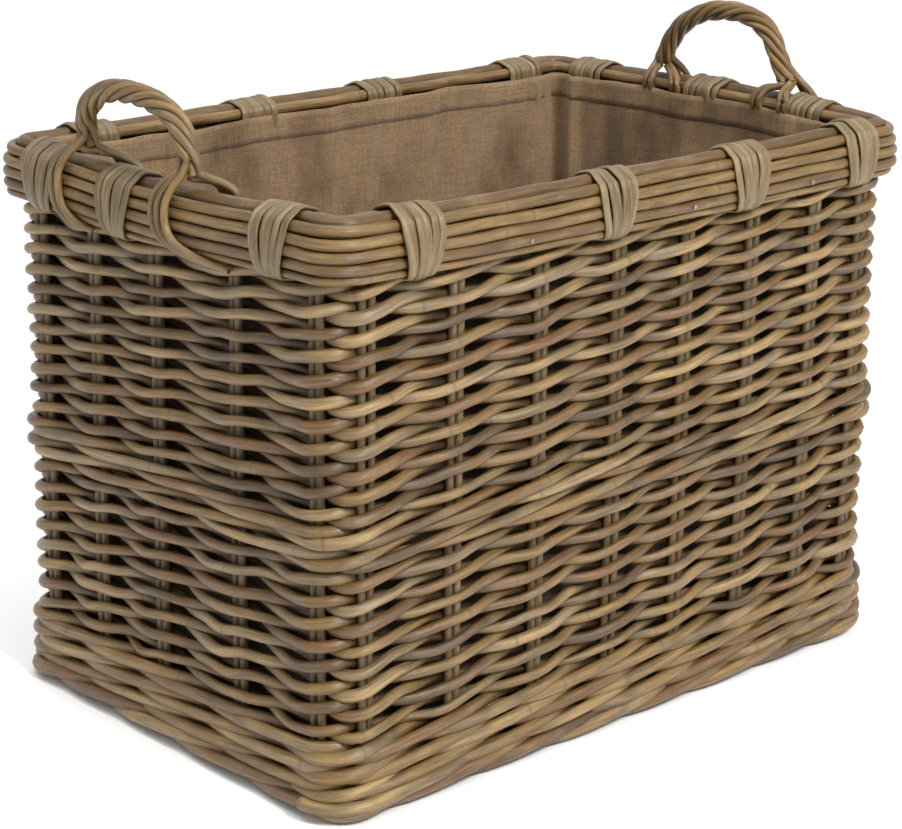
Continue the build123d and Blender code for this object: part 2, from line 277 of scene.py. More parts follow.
class Rods:
    """Collects round or flattened tubes into one mesh, with the attributes its material reads."""

    def __init__(self):
        self.verts = []
        self.quads = []
        self.caps = []
        self.tint = []
        self.tuck = []
        self.joint = []
        self.grain = []
        self.count = 0

    def add(self, path, reference, radius, closed=False, tint=0.5, tuck=0.0, sides=ROD_SIDES,
            flat=1.0, spacing=0.22, bulge=0.05):
        """One tube along a path; flat below 1 thins it along the reference direction."""
        path = np.asarray(path, float)
        size = len(path)
        step = np.roll(path, -1, 0) - np.roll(path, 1, 0) if closed else np.gradient(path, axis=0)
        tangent = unit(step)
        reference = np.broadcast_to(np.asarray(reference, float), path.shape)
        normal = unit(reference - tangent * (reference * tangent).sum(1, keepdims=True))
        binormal = np.cross(tangent, normal)
        along = distance_along(path)
        tint = np.broadcast_to(np.asarray(tint, float), size)
        tuck = np.broadcast_to(np.asarray(tuck, float), size)
        radius = np.broadcast_to(np.asarray(radius, float), size)
        joint = along / spacing + rng.uniform(0, 1)
        near = np.abs(joint - np.round(joint)) * spacing
        radius = radius * (1 + bulge * np.exp(-((near / NODE_WIDTH) ** 2)))
        angle = np.arange(sides) * 2 * pi / sides
        across = np.cos(angle)[None, :, None] * normal[:, None, :] * flat
        up = np.sin(angle)[None, :, None] * binormal[:, None, :]
        verts = path[:, None, :] + radius[:, None, None] * (across + up)
        offset = rng.uniform(0, 50)
        grain = np.empty((size, sides, 3))
        grain[..., 0] = along[:, None] + offset
        grain[..., 1] = np.cos(angle)[None, :] * radius[:, None] + offset
        grain[..., 2] = np.sin(angle)[None, :] * radius[:, None]
        rows = np.arange(size if closed else size - 1)
        next_rows = (rows + 1) % size
        k = np.arange(sides)
        next_k = (k + 1) % sides
        first = self.count
        quads = np.stack([
            first + rows[:, None] * sides + k[None, :],
            first + next_rows[:, None] * sides + k[None, :],
            first + next_rows[:, None] * sides + next_k[None, :],
            first + rows[:, None] * sides + next_k[None, :],
        ], -1).reshape(-1, 4)
        self.verts.append(verts.reshape(-1, 3))
        self.quads.append(quads[:, ::-1])
        self.tint.append(np.repeat(tint, sides))
        self.tuck.append(np.repeat(tuck, sides))
        self.joint.append(np.repeat(joint, sides))
        self.grain.append(grain.reshape(-1, 3))
        if not closed:
            self.caps.append(first + k)
            self.caps.append((first + (size - 1) * sides + k)[::-1])
        self.count += size * sides

    def build(self, name, material):
        """The mesh object, with its attributes and material."""
        verts = np.concatenate(self.verts)
        quads = np.concatenate(self.quads)
        mesh = bpy.data.meshes.new(name)
        cap_corners = np.concatenate(self.caps) if self.caps else np.empty(0, int)
        mesh.vertices.add(len(verts))
        mesh.vertices.foreach_set("co", warp(verts).astype(np.float32).ravel())
        corners = np.concatenate([quads.ravel(), cap_corners])
        mesh.loops.add(len(corners))
        mesh.loops.foreach_set("vertex_index", corners.astype(np.int32))
        cap_sizes = [len(cap) for cap in self.caps]
        sizes = np.concatenate([np.full(len(quads), 4), cap_sizes]).astype(np.int32)
        starts = np.concatenate([[0], np.cumsum(sizes)[:-1]]).astype(np.int32)
        mesh.polygons.add(len(sizes))
        mesh.polygons.foreach_set("loop_start", starts)
        mesh.polygons.foreach_set("use_smooth", np.ones(len(sizes), bool))
        for title, values in (("tint", self.tint), ("tuck", self.tuck), ("joint", self.joint)):
            layer = mesh.attributes.new(title, "FLOAT", "POINT")
            layer.data.foreach_set("value", np.concatenate(values).astype(np.float32))
        layer = mesh.attributes.new("grain", "FLOAT_VECTOR", "POINT")
        layer.data.foreach_set("vector", np.concatenate(self.grain).astype(np.float32).ravel())
        mesh.update(calc_edges=True)
        mesh.validate()
        mesh.materials.append(material)
        return add_object(name, mesh)


def warp(verts):
    """Hand-made unevenness of the rim, which dies out down the walls."""
    x, y, z = verts[:, 0], verts[:, 1], verts[:, 2]
    share = np.clip((z - WARP_START) / (RIM_TOP - WARP_START), 0, 1.1)
    weight = share**2 * (3 - 2 * np.minimum(share, 1))
    leftness = np.clip((-x - HALF_LENGTH + 0.12) / 0.12, 0, 1)
    rightness = np.clip((x - HALF_LENGTH + 0.16) / 0.16, 0, 1)
    lift = 0.0040 * hump(x + HALF_LENGTH, 0.09) * hump(y + HALF_WIDTH, 0.09)
    lift -= 0.0055 * leftness * hump(y - 0.02, 0.11)
    lift += 0.0060 * rightness * hump(y + 0.04, 0.15)
    out = verts.copy()
    out[:, 2] += lift * weight
    for x_sign, y_sign, reach in ((-1, 1, 0.0010), (1, -1, -0.0010)):
        near = hump(x - x_sign * HALF_LENGTH, 0.10) * hump(y - y_sign * HALF_WIDTH, 0.10) * weight
        out[:, 0] += x_sign * reach * near
        out[:, 1] += y_sign * reach * near
    return out


def hump(distance, width):
    return np.exp(-((distance / width) ** 2))


def finish_piece(piece, slot, *nodes):
    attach(piece, ROOT)
    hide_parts(*nodes)


def finish_rods(rods, name, slot, *nodes):
    finish_piece(rods.build(name, RATTAN[slot]), slot, *nodes)


def spline(points, step):
    """Catmull-Rom curve through points, sampled about every step."""
    points = np.asarray(points, float)
    padded = np.vstack([2 * points[0] - points[1], points, 2 * points[-1] - points[-2]])
    out = []
    for i in range(1, len(padded) - 2):
        p0, p1, p2, p3 = padded[i - 1:i + 3]
        count = max(int(np.linalg.norm(p2 - p1) / step), 2)
        t = np.linspace(0, 1, count, endpoint=False)[:, None]
        out.append(0.5 * (
            2 * p1 + (p2 - p0) * t + (2 * p0 - 5 * p1 + 4 * p2 - p3) * t**2
            + (3 * p1 - p0 - 3 * p2 + p3) * t**3
        ))
    out.append(points[-1:])
    return np.vstack(out)


# ---------------------------------------------------------------------------
# Materials
# ---------------------------------------------------------------------------

def srgb(red, green, blue):
    """Scene colour of 0-255 display values."""
    values = []
    for value in (red, green, blue):
        value /= 255
        values.append(value / 12.92 if value <= 0.04045 else ((value + 0.055) / 1.055) ** 2.4)
    return (*values, 1.0)


class Graph:
    """Short calls for building a node material."""

    def __init__(self, name):
        self.material = bpy.data.materials.new(name)
        self.material.use_nodes = True
        self.tree = self.material.node_tree
        self.shader = self.tree.nodes["Principled BSDF"]

    def node(self, kind, **settings):
        made = self.tree.nodes.new("ShaderNode" + kind)
        for key, value in settings.items():
            setattr(made, key, value)
        return made

    def link(self, source, target):
        self.tree.links.new(source, target)

    def attribute(self, name, output="Fac"):
        return self.node("Attribute", attribute_name=name).outputs[output]

    def math(self, operation, first, second=None):
        made = self.node("Math", operation=operation)
        for socket, value in zip(made.inputs, (first, second)):
            if value is None:
                continue
            if isinstance(value, (int, float)):
                socket.default_value = value
            else:
                self.link(value, socket)
        return made.outputs[0]

    def scaled(self, vector, scale):
        made = self.node("Mapping", vector_type="POINT")
        made.inputs["Scale"].default_value = scale
        self.link(vector, made.inputs["Vector"])
        return made.outputs[0]

    def noise(self, vector, scale, detail=2.0, roughness=0.5):
        made = self.node("TexNoise")
        made.inputs["Scale"].default_value = scale
        made.inputs["Detail"].default_value = detail
        made.inputs["Roughness"].default_value = roughness
        self.link(vector, made.inputs["Vector"])
        return made.outputs["Fac"]

    def texture(self, vector, scale, detail=2.0, roughness=0.5):
        """Noise stretched differently along each axis."""
        return self.noise(self.scaled(vector, scale), 1.0, detail, roughness)

    def ramp(self, factor, stops):
        made = self.node("ValToRGB")
        elements = made.color_ramp.elements
        while len(elements) < len(stops):
            elements.new(0.5)
        for element, (place, colour) in zip(elements, stops):
            element.position = place
            element.color = colour
        self.link(factor, made.inputs["Fac"])
        return made.outputs["Color"]

    def between(self, factor, low, high, new_low, new_high):
        made = self.node("MapRange")
        sockets = ("From Min", "From Max", "To Min", "To Max")
        for socket, value in zip(sockets, (low, high, new_low, new_high)):
            made.inputs[socket].default_value = value
        self.link(factor, made.inputs["Value"])
        return made.outputs["Result"]

    def mix(self, mode, factor, first, second):
        made = self.node("Mix", data_type="RGBA", blend_type=mode)
        for index, value in ((0, factor), (6, first), (7, second)):
            socket = made.inputs[index]
            if isinstance(value, (int, float, tuple)):
                socket.default_value = value
            else:
                self.link(value, socket)
        return made.outputs[2]

    def bump(self, height, strength, distance):
        made = self.node("Bump")
        made.inputs["Strength"].default_value = strength
        made.inputs["Distance"].default_value = distance
        self.link(height, made.inputs["Height"])
        self.link(made.outputs["Normal"], self.shader.inputs["Normal"])

    def toned(self, base, factor, *limits):
        """A colour made lighter or darker as a factor runs between limits."""
        value = self.between(factor, *limits)
        grey = self.node("CombineColor")
        for socket in grey.inputs:
            self.link(value, socket)
        return self.mix("MULTIPLY", 1.0, base, grey.outputs[0])


def rattan(name, stops, roughness, gloss=0.5, ring=0.55, tuck_shade=0.55):
    """Weathered rattan: rod-to-rod colour, fibres along the grain, worn patches, dark node rings, and
    painted shade where rods tuck in behind the stakes.
    """
    graph = Graph(name)
    grain = graph.attribute("grain", "Vector")
    drift = graph.texture(grain, (11.0, 30.0, 30.0), 2.0)
    tint = graph.math("ADD", graph.attribute("tint"), graph.between(drift, 0.3, 0.7, -0.22, 0.22))
    base = graph.ramp(tint, stops)
    streak = graph.texture(grain, (16.0, 800.0, 800.0), 4.0, 0.65)
    split = graph.texture(grain, (26.0, 330.0, 330.0), 3.0, 0.65)
    fine = graph.texture(grain, (90.0, 3200.0, 3200.0), 2.0, 0.6)
    worn = graph.texture(grain, (34.0, 120.0, 120.0), 4.0, 0.65)
    dash = graph.texture(grain, (300.0, 1500.0, 1500.0), 2.0, 0.6)
    base = graph.mix("MIX", graph.between(worn, 0.54, 0.74, 0.0, 0.55), base, srgb(134, 114, 83))
    base = graph.toned(base, streak, 0.28, 0.72, 0.64, 1.24)
    base = graph.toned(base, split, 0.32, 0.66, 0.60, 1.20)
    base = graph.toned(base, fine, 0.3, 0.7, 0.84, 1.14)
    base = graph.toned(base, dash, 0.58, 0.70, 1.0, 0.60)
    joint = graph.attribute("joint")
    near = graph.math("ABSOLUTE", graph.math("SUBTRACT", joint, graph.math("ROUND", joint)))
    ring_mask = graph.between(near, 0.003, 0.010, 1.0, 0.0)
    base = graph.mix("MULTIPLY", graph.math("MULTIPLY", ring_mask, ring), base, srgb(96, 66, 40))
    halo = graph.between(near, 0.008, 0.06, 0.40, 0.0)
    base = graph.mix("MIX", halo, base, srgb(128, 105, 68))
    # Painted shade: rods darkened where they tuck in behind the stakes, in place of the shade in the
    # gaps of the weave.
    base = graph.toned(base, graph.attribute("tuck"), 0.0, 1.0, 1.0, 1.0 - tuck_shade)
    graph.link(base, graph.shader.inputs["Base Color"])
    rough = graph.between(streak, 0.3, 0.7, roughness - 0.10, roughness + 0.12)
    graph.link(rough, graph.shader.inputs["Roughness"])
    graph.shader.inputs["Specular IOR Level"].default_value = gloss
    fibres = graph.math("ADD", streak, graph.math("MULTIPLY", split, 1.2))
    graph.bump(graph.math("ADD", fibres, graph.math("MULTIPLY", fine, 0.4)), 0.55, 0.0009)
    return graph.material


def hessian(name, shade_tone=1.0):
    """Coarse brown hessian: crossed threads with slubs, faint blotches and a matte finish; a tone below
    1 darkens it all as painted shade.
    """
    graph = Graph(name)
    cloth = graph.attribute("cloth", "Vector")
    warp_noise = graph.texture(cloth, (40.0, 40.0, 1.0), 2.0)
    split = graph.node("SeparateXYZ")
    graph.link(cloth, split.inputs[0])
    waves = []
    for place in (split.outputs[0], split.outputs[1]):
        thread = graph.math("ADD", graph.math("DIVIDE", place, THREAD_GAP),
                            graph.math("MULTIPLY", warp_noise, 1.4))
        waves.append(graph.math("SINE", graph.math("MULTIPLY", thread, 2 * pi)))
    weave = graph.math("MULTIPLY", waves[0], waves[1])
    slub_u = graph.texture(cloth, (30.0, 700.0, 1.0), 2.0)
    slub_v = graph.texture(cloth, (700.0, 30.0, 1.0), 2.0)
    blotch = graph.texture(cloth, (13.0, 8.0, 1.0), 4.0, 0.6)
    speck = graph.texture(cloth, (420.0, 420.0, 1.0), 2.0, 0.6)
    base = graph.ramp(blotch, HESSIAN_STOPS)
    slubs = graph.math("ADD", slub_u, slub_v)
    base = graph.toned(base, slubs, 0.75, 1.25, 0.80, 1.20)
    base = graph.toned(base, weave, -1.0, 1.0, 0.80, 1.16)
    base = graph.toned(base, speck, 0.3, 0.7, 0.72, 1.26)
    # Painted shade: the whole colour scaled down, used for the liner's back face seen through the gaps
    # of the weave.
    base = graph.mix("MULTIPLY", 1.0, base, (shade_tone, shade_tone, shade_tone, 1.0))
    graph.link(base, graph.shader.inputs["Base Color"])
    graph.shader.inputs["Roughness"].default_value = 0.95
    graph.shader.inputs["Specular IOR Level"].default_value = 0.15
    graph.shader.inputs["Sheen Weight"].default_value = 0.15
    height = graph.math("ADD", weave, graph.math("MULTIPLY", slubs, 0.8))
    graph.bump(height, 0.5, 0.0006)
    return graph.material


GREY = srgb(105, 86, 57)
BROWN = srgb(104, 76, 41)
OLIVE = srgb(112, 87, 47)
STRAW = srgb(129, 101, 56)
PALE = srgb(150, 122, 77)
ASH = srgb(133, 112, 80)
WARM = srgb(112, 78, 42)
DEEP = srgb(83, 62, 34)
CANE = srgb(110, 84, 45)
CANE_DARK = srgb(92, 67, 35)
CANE_PALE = srgb(122, 96, 55)
STRIP = srgb(114, 95, 63)
STRIP_PALE = srgb(128, 109, 76)

WEAVE_STOPS = (
    (0.0, DEEP), (0.14, BROWN), (0.22, WARM), (0.34, OLIVE), (0.54, STRAW), (0.70, GREY), (0.86, PALE),
    (1.0, ASH),
)
CANE_STOPS = ((0.0, CANE_DARK), (0.4, CANE), (0.8, CANE_PALE), (1.0, BROWN))
STAKE_STOPS = ((0.0, OLIVE), (0.5, GREY), (1.0, ASH))
STRIP_STOPS = ((0.0, GREY), (0.5, STRIP), (1.0, STRIP_PALE))
HANDLE_STOPS = ((0.0, BROWN), (0.4, OLIVE), (0.7, GREY), (1.0, STRAW))
HESSIAN_STOPS = ((0.30, srgb(92, 71, 49)), (0.50, srgb(129, 104, 76)), (0.70, srgb(143, 118, 88)))

RATTAN = {
    "rattan_weave": rattan("rattan_weave_material", WEAVE_STOPS, 0.34, gloss=0.55),
    "rattan_stake": rattan("rattan_stake_material", STAKE_STOPS, 0.55, ring=0.2),
    "rattan_cane": rattan("rattan_cane_material", CANE_STOPS, 0.38, ring=0.7),
    "rattan_binding": rattan("rattan_binding_material", STRIP_STOPS, 0.36, ring=0.0),
    "rattan_handle": rattan("rattan_handle_material", HANDLE_STOPS, 0.42, ring=0.2),
}
HESSIAN_MATERIAL = hessian("hessian_material")
# The liner's back face: the same hessian darkened to 0.30 as painted shade, so the gaps in the weave
# look dark.
HESSIAN_SHADED_BACK = hessian("hessian_shaded_back_material", 0.30)


# ---------------------------------------------------------------------------
# Woven walls
# ---------------------------------------------------------------------------

def rod_lengths(place, gap):
    """(tint, thickness) along a strand; one rod ends and the next begins where place is whole."""
    last = int(floor(place.max()))
    breaks = [int(np.ceil(place.min()))]
    while breaks[-1] < last - gap:
        breaks.append(breaks[-1] + max(int(round(rng.normal(gap, gap / 4))), 2))
    count = len(breaks) + 1
    tints = rng.uniform(0, 1, count)
    thick = rng.normal(1.0, 0.055, count)
    tints[-1], thick[-1] = tints[0], thick[0]
    which = np.searchsorted(breaks, place)
    return tints[which], thick[which]


def ring_points(distance, outset, height):
    """Points at an outset from the wall's middle line, and their outward directions."""
    plan, normal = WALL.at(distance)
    return in_space(plan + normal * outset[:, None], normal, height)


def corner_swell(distance):
    """Thickness factor of woven rods, which closes the gaps between them round the corners."""
    corners = WALL.marks[1::3] + WALL.turn / 2
    away = np.abs((distance[:, None] - corners + WALL.length / 2) % WALL.length - WALL.length / 2)
    return 1 + CORNER_SWELL * np.exp(-((away / CORNER_SWELL_REACH) ** 2)).sum(1)


def lay_rod_line(rods, distance, outset, z, swing, radius, place, gap, taper):
    """A closed line of rods laid end to end, darkened with painted shade where it tucks in behind the
    stakes.
    """
    points, normals = ring_points(distance, outset, z)
    tint, thick = rod_lengths(place, gap)
    thickness = radius * thick * (1 + wobble(distance, *taper)) * corner_swell(distance)
    # tuck sets how much painted shade the material puts on the rod where it passes behind the stakes.
    rods.add(points, normals, thickness, closed=True, tint=tint,
             tuck=np.clip(0.5 - 0.5 * swing, 0, 1) ** 1.5)


def twined_row(rods, height):
    """One row of pairing: two rods that cross between every two stakes."""
    distance = even_distances(WALL.length, SAMPLE_STEP)
    phase = stake_phase(distance)
    lift = wobble(distance, WALL.length, 0.0010, (3, 5, 9, 14))
    for strand, sign in enumerate((1, -1)):
        swing = sign * np.cos(pi * phase)
        outset = SWING * swing + wobble(distance, WALL.length, 0.0007, (7, 13, 19, 31))
        rise = RISE * sign * np.sin(pi * phase)
        z = height + rise + lift + wobble(distance, WALL.length, 0.0008, (9, 17, 29, 41))
        lay_rod_line(rods, distance, outset, z, swing, ROD_RADIUS, (phase - 1 + strand) / 2, 5,
                     (WALL.length, 0.03, (5, 11, 23)))


def wale_profile(turn):
    """(swing, rise) of a waling rod: in front of two stakes, then behind one, rising all the way."""
    turn = np.mod(turn, 3.0)
    wave = 2 * pi * (turn - 1) / 3
    swing = 1.125 * np.cos(wave) + 0.333 - 0.208 * np.cos(2 * wave)
    front = -np.cos(pi * np.minimum(turn, 2.0) / 2)
    back = np.cos(pi * np.maximum(turn - 2.0, 0.0))
    rise = np.where(turn < 2.0, front, back)
    return swing, rise


def wale_row(rods, height, radius=ROD_RADIUS, rise_by=WALE_RISE, swing_by=SWING, shift=0.0, out=0.0):
    """One row of three-rod waling, as one rod line that closes after three turns of the wall."""
    distance = even_distances(WALL.length, SAMPLE_STEP, 3)
    phase = stake_phase(distance) + 0.5 + shift
    swing, rise = wale_profile(phase)
    outset = swing_by * swing + out + wobble(distance, 3 * WALL.length, 0.0006, (11, 17, 29))
    z = height + rise_by * rise + wobble(distance, 3 * WALL.length, 0.0007, (7, 13, 23))
    lay_rod_line(rods, distance, outset, z, swing, radius, (phase - 2.5) / 3, 3,
                 (3 * WALL.length, 0.04, (9, 21, 35)))


def cut_rod(rods, start, stop):
    """Border rod laid along the outside, whose cut end shows and whose other end tucks in."""
    distance = np.linspace(start, stop, 60)
    share = np.linspace(0, 1, 60)
    outset = 0.0150 - 0.0170 * np.clip((share - 0.55) / 0.45, 0, 1) ** 2
    points, normals = ring_points(distance, outset, 0.0128 + 0.0100 * share)
    rods.add(points, normals, CUT_ROD_RADIUS, tint=np.where(share < 0.01, 1.0, 0.74))


def row_heights(top, bottom, count):
    return [top + (bottom - top) * row / (count - 1) for row in range(count)]


def build_walls():
    for band, rows in (("upper_weave", UPPER_ROWS), ("lower_weave", LOWER_ROWS)):
        rods = Rods()
        for height in row_heights(*rows):
            twined_row(rods, height)
        finish_rods(rods, f"{band}_rods", "rattan_weave", band)
    middle = Rods()
    for row, height in enumerate(MIDDLE_WALE_ROWS):
        wale_row(middle, height, shift=row)
    finish_rods(middle, "middle_wale_rods", "rattan_weave", "middle_wale")
    top = Rods()
    wale_row(top, TOP_WALE_ROW, rise_by=0.0045)
    twined_row(top, TOP_PAIRING_ROW)
    finish_rods(top, "top_weave_rods", "rattan_weave", "top_weave")
    foot = Rods()
    for row, height in enumerate(FOOT_WALE_ROWS):
        wale_row(foot, height, radius=FOOT_WALE_RADIUS, rise_by=0.0052, shift=row)
    finish_rods(foot, "foot_wale_rods", "rattan_weave", "foot_wale")
    border = Rods()
    wale_row(border, BORDER_ROW, radius=BORDER_RADIUS, rise_by=0.0050, swing_by=0.0085, shift=0.5,
             out=0.001)
    stop = WALL.distance_at("front", -0.160) + WALL.length
    cut_rod(border, WALL.distance_at("left", -0.178), stop)
    finish_rods(border, "foot_border_rods", "rattan_weave", "foot_border")


def build_stakes():
    top = node_box("front_stakes")[1][2]
    heights = np.linspace(0.008, top, 40)
    for side, (places, half) in SIDE_STAKES.items():
        rods = Rods()
        for share in places:
            mark = WALL.distance_at(side, share * half)
            for step in (-0.5, 0.5):
                drift = wobble(heights, 1.0, 0.0006, (1, 2, 3))
                distance = mark + step * STAKE_PAIR_PITCH + drift
                points, normals = ring_points(distance, wobble(heights, 1.0, 0.0004, (1, 2)), heights)
                rods.add(points, normals, STAKE_RADIUS, tint=rng.beta(2, 2), sides=8)
        finish_rods(rods, f"{side}_stake_rods", "rattan_stake", f"{side}_stakes")


# ---------------------------------------------------------------------------
# Rim
# ---------------------------------------------------------------------------

def build_rim_canes():
    for name in RIM_CANES:
        radius, outset, height = CANE_SECTIONS[name]
        loop = Loop(outset, max(RIM_CORNER_RADIUS + outset, 0.009))
        distance = even_distances(loop.length, 0.004)
        plan, normal = loop.at(distance)
        plan = plan + normal * wobble(distance, loop.length, 0.0005, (5, 9, 14, 23))[:, None]
        z = height + wobble(distance, loop.length, 0.0006, (4, 7, 11, 19, 31))
        points, normals = in_space(plan, normal, z)
        rods = Rods()
        taper = 1 + wobble(distance, loop.length, 0.03, (3, 8, 17))
        rods.add(points, normals, radius * 0.97 * taper, closed=True, tint=rng.beta(2, 2), sides=14,
                 spacing=loop.length / 9)
        finish_rods(rods, f"{name}_hoop", "rattan_cane", name)


def convex_hull(points):
    points = sorted(map(tuple, points))

    def half(sequence):
        chain = []
        for point in sequence:
            while len(chain) > 1:
                (ax, ay), (bx, by) = chain[-2], chain[-1]
                if (bx - ax) * (point[1] - ay) - (by - ay) * (point[0] - ax) > 0:
                    break
                chain.pop()
            chain.append(point)
        return chain[:-1]

    return np.array(half(points) + half(points[::-1]))


def rim_section(gap, samples):
    """Closed outline (outset, height) round the rim bundle, from its inner bottom, going outwards."""
    angle = np.linspace(0, 2 * pi, 32, endpoint=False)
    points = []
    for radius, outset, height in CANE_SECTIONS.values():
        for a in angle:
            points.append((outset + (radius + gap) * cos(a), height + (radius + gap) * sin(a)))
    under = min(height - radius for radius, _, height in CANE_SECTIONS.values())
    points += [(-WALL_THICKNESS - 0.001, under - gap), (0.004, under - gap)]
    hull = convex_hull(points)
    start = np.argmin(hull[:, 0] + hull[:, 1])
    hull = np.roll(hull, -start, 0)
    ring = np.vstack([hull, hull[:1]])
    lengths = distance_along(ring)
    where = np.linspace(0, lengths[-1], samples, endpoint=False)
    outline = np.column_stack([np.interp(where, lengths, ring[:, i]) for i in (0, 1)])
    for _ in range(2):
        outline = (np.roll(outline, 1, 0) + 2 * outline + np.roll(outline, -1, 0)) / 4
    return outline


SIDE_AXES = {
    "front": (np.array([1.0, 0, 0]), np.array([0, -1.0, 0]), HALF_WIDTH),
    "back": (np.array([1.0, 0, 0]), np.array([0, 1.0, 0]), HALF_WIDTH),
    "left": (np.array([0, 1.0, 0]), np.array([-1.0, 0, 0]), HALF_LENGTH),
    "right": (np.array([0, 1.0, 0]), np.array([1.0, 0, 0]), HALF_LENGTH),
}


def on_side(side, along, outset, height):
    """Points from positions along a side, outsets and heights."""
    run, outward, half = SIDE_AXES[side]
    along, outset, height = np.broadcast_arrays(along, outset, height)
    return (run * along[..., None] + outward * (half + outset)[..., None]
            + np.array([0, 0, 1.0]) * height[..., None])


def binding_piece(node):
    """One binding: a split-cane strip wound round the rim, its turns drawn together underneath."""
    side = node.split("_")[0]
    low, high = node_box(node)
    axis = 0 if side in ("front", "back") else 1
    centre = (low[axis] + high[axis]) / 2
    turns = BINDING_TURNS
    samples = 72
    outline = rim_section(BINDING_GAP, samples)
    index = np.arange(turns * samples + 1)
    section = outline[index % samples]
    tangent = np.roll(outline, -1, 0) - np.roll(outline, 1, 0)
    facing = unit(np.column_stack([tangent[:, 1], -tangent[:, 0]]))[index % samples]
    turn = index / samples
    under = section[:, 1].min()
    level = np.clip((section[:, 1] - under) / (RIM_TOP - under), 0, 1)
    outside = np.clip((section[:, 0] + 0.008) / 0.010, 0, 1)
    drawn = 0.52 + 0.48 * np.clip(level * 1.5, 0, 1) ** 0.8
    spread = outside * drawn + (1 - outside) * 0.92
    knots = np.arange(turns * 3 + 1) / 3
    drift = np.interp(turn, knots, rng.normal(0, 0.0009, len(knots)))
    along = centre + (turn - turns / 2) * BINDING_PITCH * spread + drift
    lift = np.interp(turn, knots, np.abs(rng.normal(0, 0.0009, len(knots))))
    raised = section + facing * lift[:, None]
    points = on_side(side, along, raised[:, 0], raised[:, 1])
    _, outward, _ = SIDE_AXES[side]
    reference = outward * facing[:, :1] + np.array([0, 0, 1.0]) * facing[:, 1:]
    rods = Rods()
    tints = np.clip(rng.normal(0.5, 0.28, turns + 1), 0, 1)
    rods.add(points, reference, BINDING_HALF_WIDTH, tint=tints[index // samples], sides=14,
             flat=BINDING_FLATNESS, bulge=0.0)
    finish_rods(rods, f"{node}_strip", "rattan_binding", node)


def build_bindings():
    for node in sorted(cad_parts):
        if "_binding_" in node:
            binding_piece(node)


# ---------------------------------------------------------------------------
# Handles
# ---------------------------------------------------------------------------

HANDLE_STRANDS = 6
HANDLE_STRAND_RADIUS = 0.0031
HANDLE_CORE_RADIUS = 0.0036
HANDLE_HELIX_RADIUS = 0.0062
HANDLE_TWIST = 0.105
LEG_PARTING = 2

# Centre line of each handle as (offset from its middle, height above the rim).
HANDLE_LINES = {
    "left": (
        (0.063, 0.009), (0.068, 0.020), (0.069, 0.033), (0.061, 0.047), (0.042, 0.058), (0.012, 0.0640),
        (-0.024, 0.0620), (-0.050, 0.051), (-0.062, 0.036), (-0.068, 0.022), (-0.072, 0.009),
    ),
    "right": (
        (0.075, 0.009), (0.070, 0.019), (0.062, 0.033), (0.046, 0.049), (0.014, 0.0620),
        (-0.028, 0.0630), (-0.055, 0.051), (-0.067, 0.032), (-0.075, 0.019), (-0.081, 0.009),
    ),
}
# Where the rods of each leg go round the rim: outer ones as (offset from the leg, sideways sweep),
# inner ones as an offset from the leg.
LEG_ENDS = {
    ("left", "far"): (((0.025, 0.028), (0.016, 0.030)), (-0.042, -0.032, -0.022, -0.012)),
    ("left", "near"): (((0.008, 0.066), (0.017, 0.074), (0.025, 0.078)), (-0.030, -0.021, -0.012)),
    ("right", "far"): (((-0.004, 0.030), (-0.016, 0.030)), (-0.038, -0.031, -0.004, 0.003)),
    ("right", "near"): (((-0.006, 0.030), (-0.018, 0.030)), (-0.014, -0.007, 0.017, 0.024)),
}


def outer_end(leg, land, sweep):
    """Route of a rod from a leg over the outside of the rim, sweeping sideways under it."""
    face = max(outset + radius for radius, outset, _ in CANE_SECTIONS.values())
    out = face + HANDLE_STRAND_RADIUS
    stops = (
        (0.35 * land, -0.0012, 0.0125), (0.78 * land, 0.0052, 0.0032), (land, 0.0105, -0.0060),
        (land, out - 0.0005, -0.0140), (land - 0.02 * sweep, out, -0.0270),
        (land - 0.14 * sweep, out - 0.0004, -0.0380), (land - 0.42 * sweep, out - 0.0020, -0.0460),
        (land - 0.72 * sweep, out - 0.0050, -0.0510), (land - sweep, 0.0020, -0.0550),
    )
    return [(leg + along, outset, RIM_TOP + rise) for along, outset, rise in stops]


def inner_end(leg, land):
    """Route of a rod from a leg over the inner cane and down behind the liner."""
    radius, outset, _ = CANE_SECTIONS["rim_inner_cane"]
    inside = outset - radius - HANDLE_STRAND_RADIUS
    stops = (
        (0.70 * land, -0.0215, 0.0042), (0.96 * land, inside + 0.0018, -0.0020),
        (land, inside, -0.0080), (land, inside + 0.0035, -0.0160),
    )
    return [(leg + along, outset, RIM_TOP + rise) for along, outset, rise in stops]


def leg_routes(side, leg_name, leg, ends):
    """(samples left out, route) for each rod end: those furthest out leave first and go outside."""
    outer, inner = LEG_ENDS[side, leg_name]
    order = np.argsort(-ends[:, 1])
    outer_ids = sorted(order[:len(outer)], key=lambda i: ends[i, 0])
    inner_ids = sorted(order[len(outer):], key=lambda i: ends[i, 0])
    routes = {i: (LEG_PARTING, outer_end(leg, *stop)) for i, stop in zip(outer_ids, sorted(outer))}
    routes.update({i: (0, inner_end(leg, stop)) for i, stop in zip(inner_ids, sorted(inner))})
    return routes


